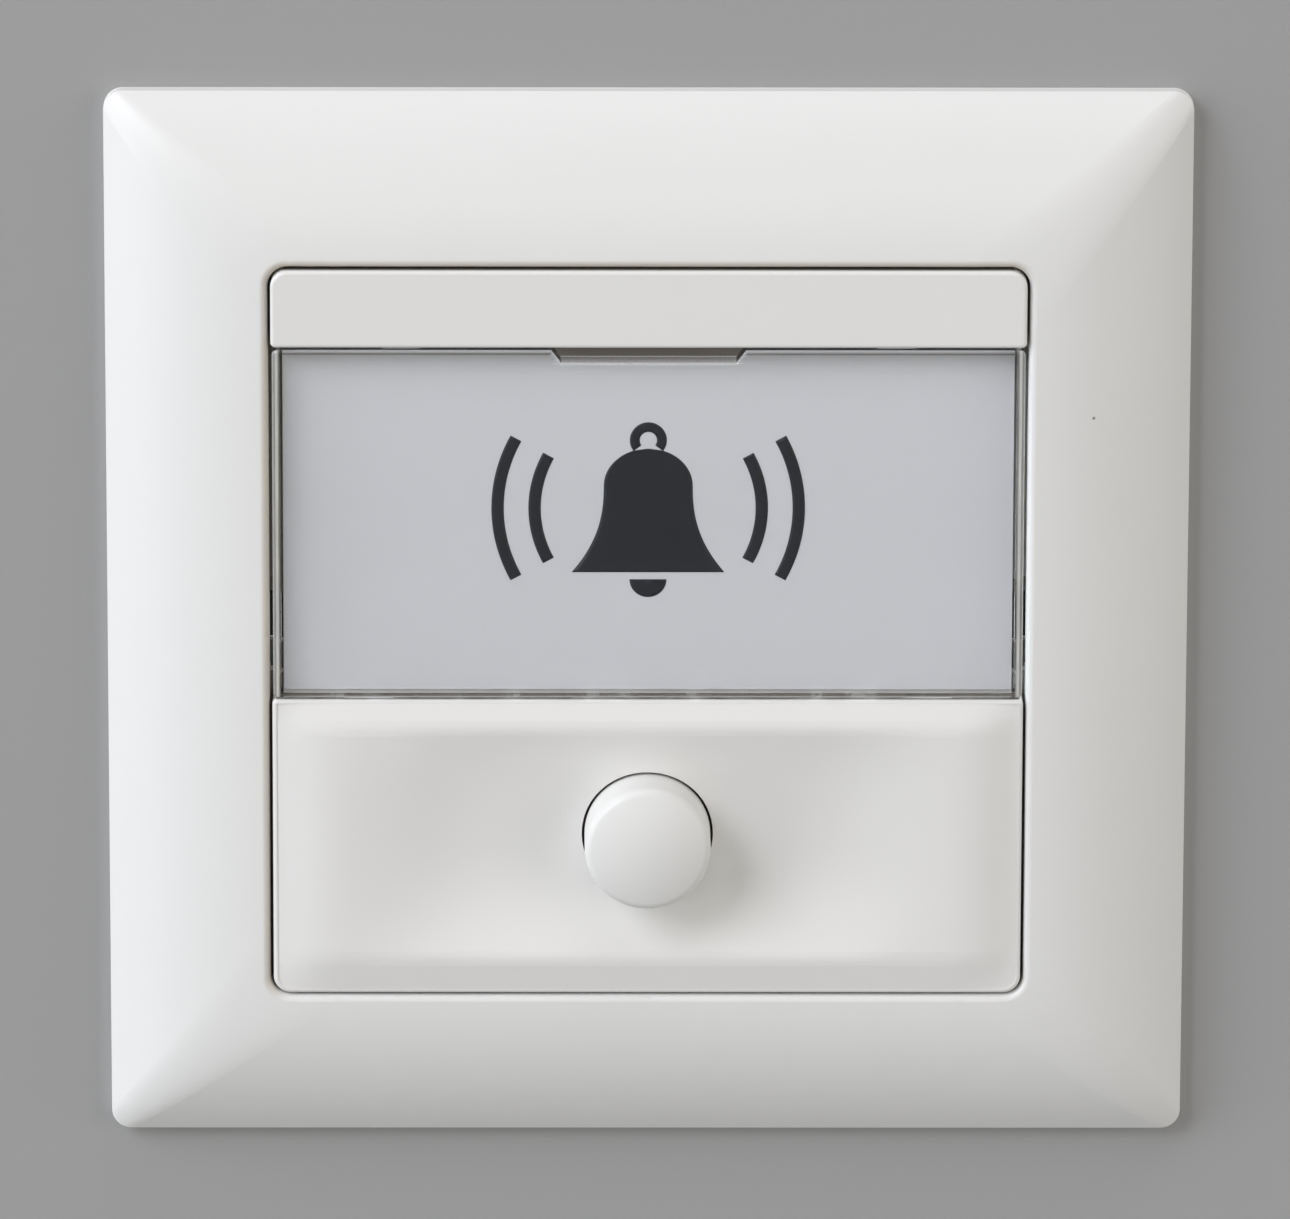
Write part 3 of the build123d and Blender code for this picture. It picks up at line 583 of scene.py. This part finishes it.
# Painted glints and reflections: a white band on the front of each side edge with a lighter line in it,
# and a light band on the notch floor.
inward = window_high.x - abs(x)
side = clear_finish.step(inward, edge_width, edge_width - 0.06 * MM, 0.0, 0.40)
glint_line = clear_finish.step(abs(inward - line_inward), 0.14 * MM, 0.07 * MM, 0.0, 0.45)
floor = clear_finish.step(abs(z - notch_floor), 0.05 * MM, 0.02 * MM, 0.0, 0.9)
floor = floor * clear_finish.step(abs(x), notch_half, notch_half - 0.05 * MM)
face = clear_finish.step(y - window_low.y, 0.3 * MM, 0.1 * MM)
glint_share = (face * (side + glint_line)).larger(floor) * (0.7 + 0.6 * glint_streaks)
# Painted shade: a broken dark line along the window's foot.
foot_breaks = clear_finish.noise(point, 1.5 * MM, 3, (1, 0.2, 1))
foot_shaded = clear_finish.step(abs(z - window_foot), 0.06 * MM, 0.02 * MM)
foot_shaded = foot_shaded * clear_finish.step(foot_breaks, 0.66, 0.56, 0.3, 0.9)
moulding = clear_finish.mix(foot_shaded, clear_finish.mix(glint_share, acrylic, painted_glint), foot_shade)
shade = clear_finish.node("ShaderNodeBsdfTransparent", None, {"Color": acrylic_shade})
put_on(clear_finish.end(clear_finish.mix(clear_finish.ray("Shadow"), moulding, shade)), "label_window")


# Wall and floor: a plain pale studio cove that the plate hangs on, with painted shade on the
# square that the plate hides, seen through its slots. It is one-sided and lets skylight through
# there, so that the back can be seen too.
cove_grey, hidden_shade_grey = (0.36, 0.36, 0.36), (0.03, 0.03, 0.03)
hidden_half, passing_half, square_fade = 43.0 * MM, 44.6 * MM, 0.5 * MM
cove_finish = new_finish("cove")
point, x, y, z = cove_finish.place()
from_middle = abs(x).larger(abs(z))
# Painted shade: the square of wall behind the plate is dark, as the inside of the wall box would be.
painted_shade_square = cove_finish.step(from_middle, hidden_half, hidden_half - square_fade)
cove_colour = cove_finish.tint(painted_shade_square, cove_grey, hidden_shade_grey)
cove_paint = cove_finish.principled({"Base Color": cove_colour, "Roughness": 0.9})
cove_clear = cove_finish.node("ShaderNodeBsdfTransparent")
behind = cove_finish.node("ShaderNodeNewGeometry", output="Backfacing")
skylit = cove_finish.step(from_middle, passing_half, passing_half - square_fade)
skylit = skylit * (1 - cove_finish.ray("Camera", "Transmission"))
cove_finish.end(cove_finish.mix(behind.larger(skylit), cove_paint, cove_clear))
cove_wall = 0.05 * MM
wall_half, floor_half = 0.3, 1.6
cove_top, cove_floor, cove_bend, cove_front = 0.3, -0.7, 0.35, -2.2
bend = np.linspace(0, np.pi / 2, 17)
cove_y = np.concatenate([[cove_wall], cove_wall - cove_bend * (1 - np.cos(bend)), [cove_front]])
cove_z = np.concatenate([[cove_top], cove_floor + cove_bend * (1 - np.sin(bend)), [cove_floor]])
cove_half = np.interp(cove_z, (cove_floor, cove_floor + cove_bend), (floor_half, wall_half))
across, along = np.meshgrid(np.array([-1.0, 1.0]), np.arange(len(cove_y)))
cove_points = np.stack([across * cove_half[along], cove_y[along], cove_z[along]], -1)
cove_faces = grid_faces(*across.shape)[:, ::-1]
cove_mesh = bpy.data.meshes.new("cove")
cove_mesh.from_pydata(cove_points.reshape(-1, 3).tolist(), [], cove_faces.tolist())
cove_mesh.polygons.foreach_set("use_smooth", np.ones(len(cove_mesh.polygons), bool))
cove_mesh.materials.append(cove_finish.owner)
cove = bpy.data.objects.new("cove", cove_mesh)
bpy.context.scene.collection.objects.link(cove)


# Light: soft daylight from the upper left, weaker lights from the other sides, and a grey sky,
# brighter behind the wall, with a dark screen low in front, which the window mirrors.
def facing(place, back):
    """The matrix of an object at a place whose local Z runs along back, with its X level."""
    right = np.cross((0, 0, 1), back)
    right = right / np.linalg.norm(right)
    turn = Matrix(np.stack([right, np.cross(back, right), back], 1).tolist()).to_4x4()
    return Matrix.Translation(place) @ turn


def softbox(name, place, size, power, colour):
    """A square area light at a place, facing the plate. The window's shadow rays count its
    light once already, so bent rays pass it by."""
    data = bpy.data.lights.new(name, "AREA")
    data.size = size
    data.energy = power
    data.color = colour
    lamp = bpy.data.objects.new(name, data)
    lamp.matrix_world = facing(place, np.array(place) / np.linalg.norm(place))
    lamp.visible_transmission = False
    bpy.context.scene.collection.objects.link(lamp)


white = (1.0, 1.0, 1.0)
softbox("key_light", (-1.2, -1.0, 1.1), 1.0, 21.5, (0.90, 0.92, 1.0))
softbox("left_light", (-1.8, -0.6, 0.2), 1.2, 14.5, (0.92, 0.98, 1.0))
softbox("top_light", (0.15, -0.35, 1.9), 1.2, 7.8, white)
softbox("front_light", (0.1, -2.2, 0.6), 1.4, 5.0, white)
softbox("right_light", (1.7, -0.9, 0.2), 1.2, 10.5, (1.0, 1.0, 0.97))
sky_low = (0.370, 0.357, 0.341)
sky_high = (0.170, 0.145, 0.115)
sky_behind = (0.70, 0.70, 0.70)
screen_dark = (0.02, 0.02, 0.02)
screen_fall, screen_inner, screen_outer = np.radians(16), 0.16, 0.30
sky = Finish(bpy.data.worlds.new("sky"))
direction = sky.node("ShaderNodeTexCoord", output="Generated")
heights = sky.node("ShaderNodeSeparateXYZ", sockets={0: direction}, output="Z")
depths = sky.node("ShaderNodeSeparateXYZ", sockets={0: direction}, output="Y")
sky_colour = sky.tint(sky.step(heights, -0.5, 0.5), sky_low, sky_high)
sky_colour = sky.tint(sky.step(depths, 0.0, 0.4), sky_colour, sky_behind)
sockets = {0: direction, 1: (0.0, -np.cos(screen_fall), -np.sin(screen_fall))}
towards = sky.node("ShaderNodeVectorMath", {"operation": "DOT_PRODUCT"}, sockets, "Value")
screen = sky.step(towards, np.cos(screen_outer), np.cos(screen_inner))
sky_colour = sky.tint(sky.ray("Glossy", "Transmission") * screen, sky_colour, screen_dark)
sky_light = sky.node("ShaderNodeBackground", None, {"Color": sky_colour, "Strength": 1.0})
sky.end(sky_light, "ShaderNodeOutputWorld")
bpy.context.scene.world = sky.owner
bpy.context.scene.view_settings.view_transform = "Standard"

# Camera: a long lens, a little above the plate and a trace to its left, turned by a small
# roll and moved a little across its own view.
azimuth, elevation, roll = np.radians((-0.4416, 16.1723, 0.1551))
distance = 1075.54 * MM
shift_right, shift_up = -0.190 * MM, 0.125 * MM
level_back = np.array([np.sin(azimuth), -np.cos(azimuth), 0.0])
back = level_back * np.cos(elevation) + np.array([0.0, 0.0, np.sin(elevation)])
level_right = np.array([np.cos(azimuth), np.sin(azimuth), 0.0])
level_up = np.cross(back, level_right)
right = level_right * np.cos(roll) + level_up * np.sin(roll)
up = level_up * np.cos(roll) - level_right * np.sin(roll)
camera_data = bpy.data.cameras.new("camera")
camera_data.lens = 367.74
camera_data.sensor_width = 36.0
camera_data.clip_start = 0.05
camera_data.clip_end = 20.0
camera = bpy.data.objects.new("camera", camera_data)
camera_turn = Matrix(np.stack([right, up, back], 1).tolist()).to_4x4()
camera_place = back * distance + right * shift_right + up * shift_up
camera.matrix_world = Matrix.Translation(camera_place) @ camera_turn
bpy.context.scene.collection.objects.link(camera)
bpy.context.scene.camera = camera
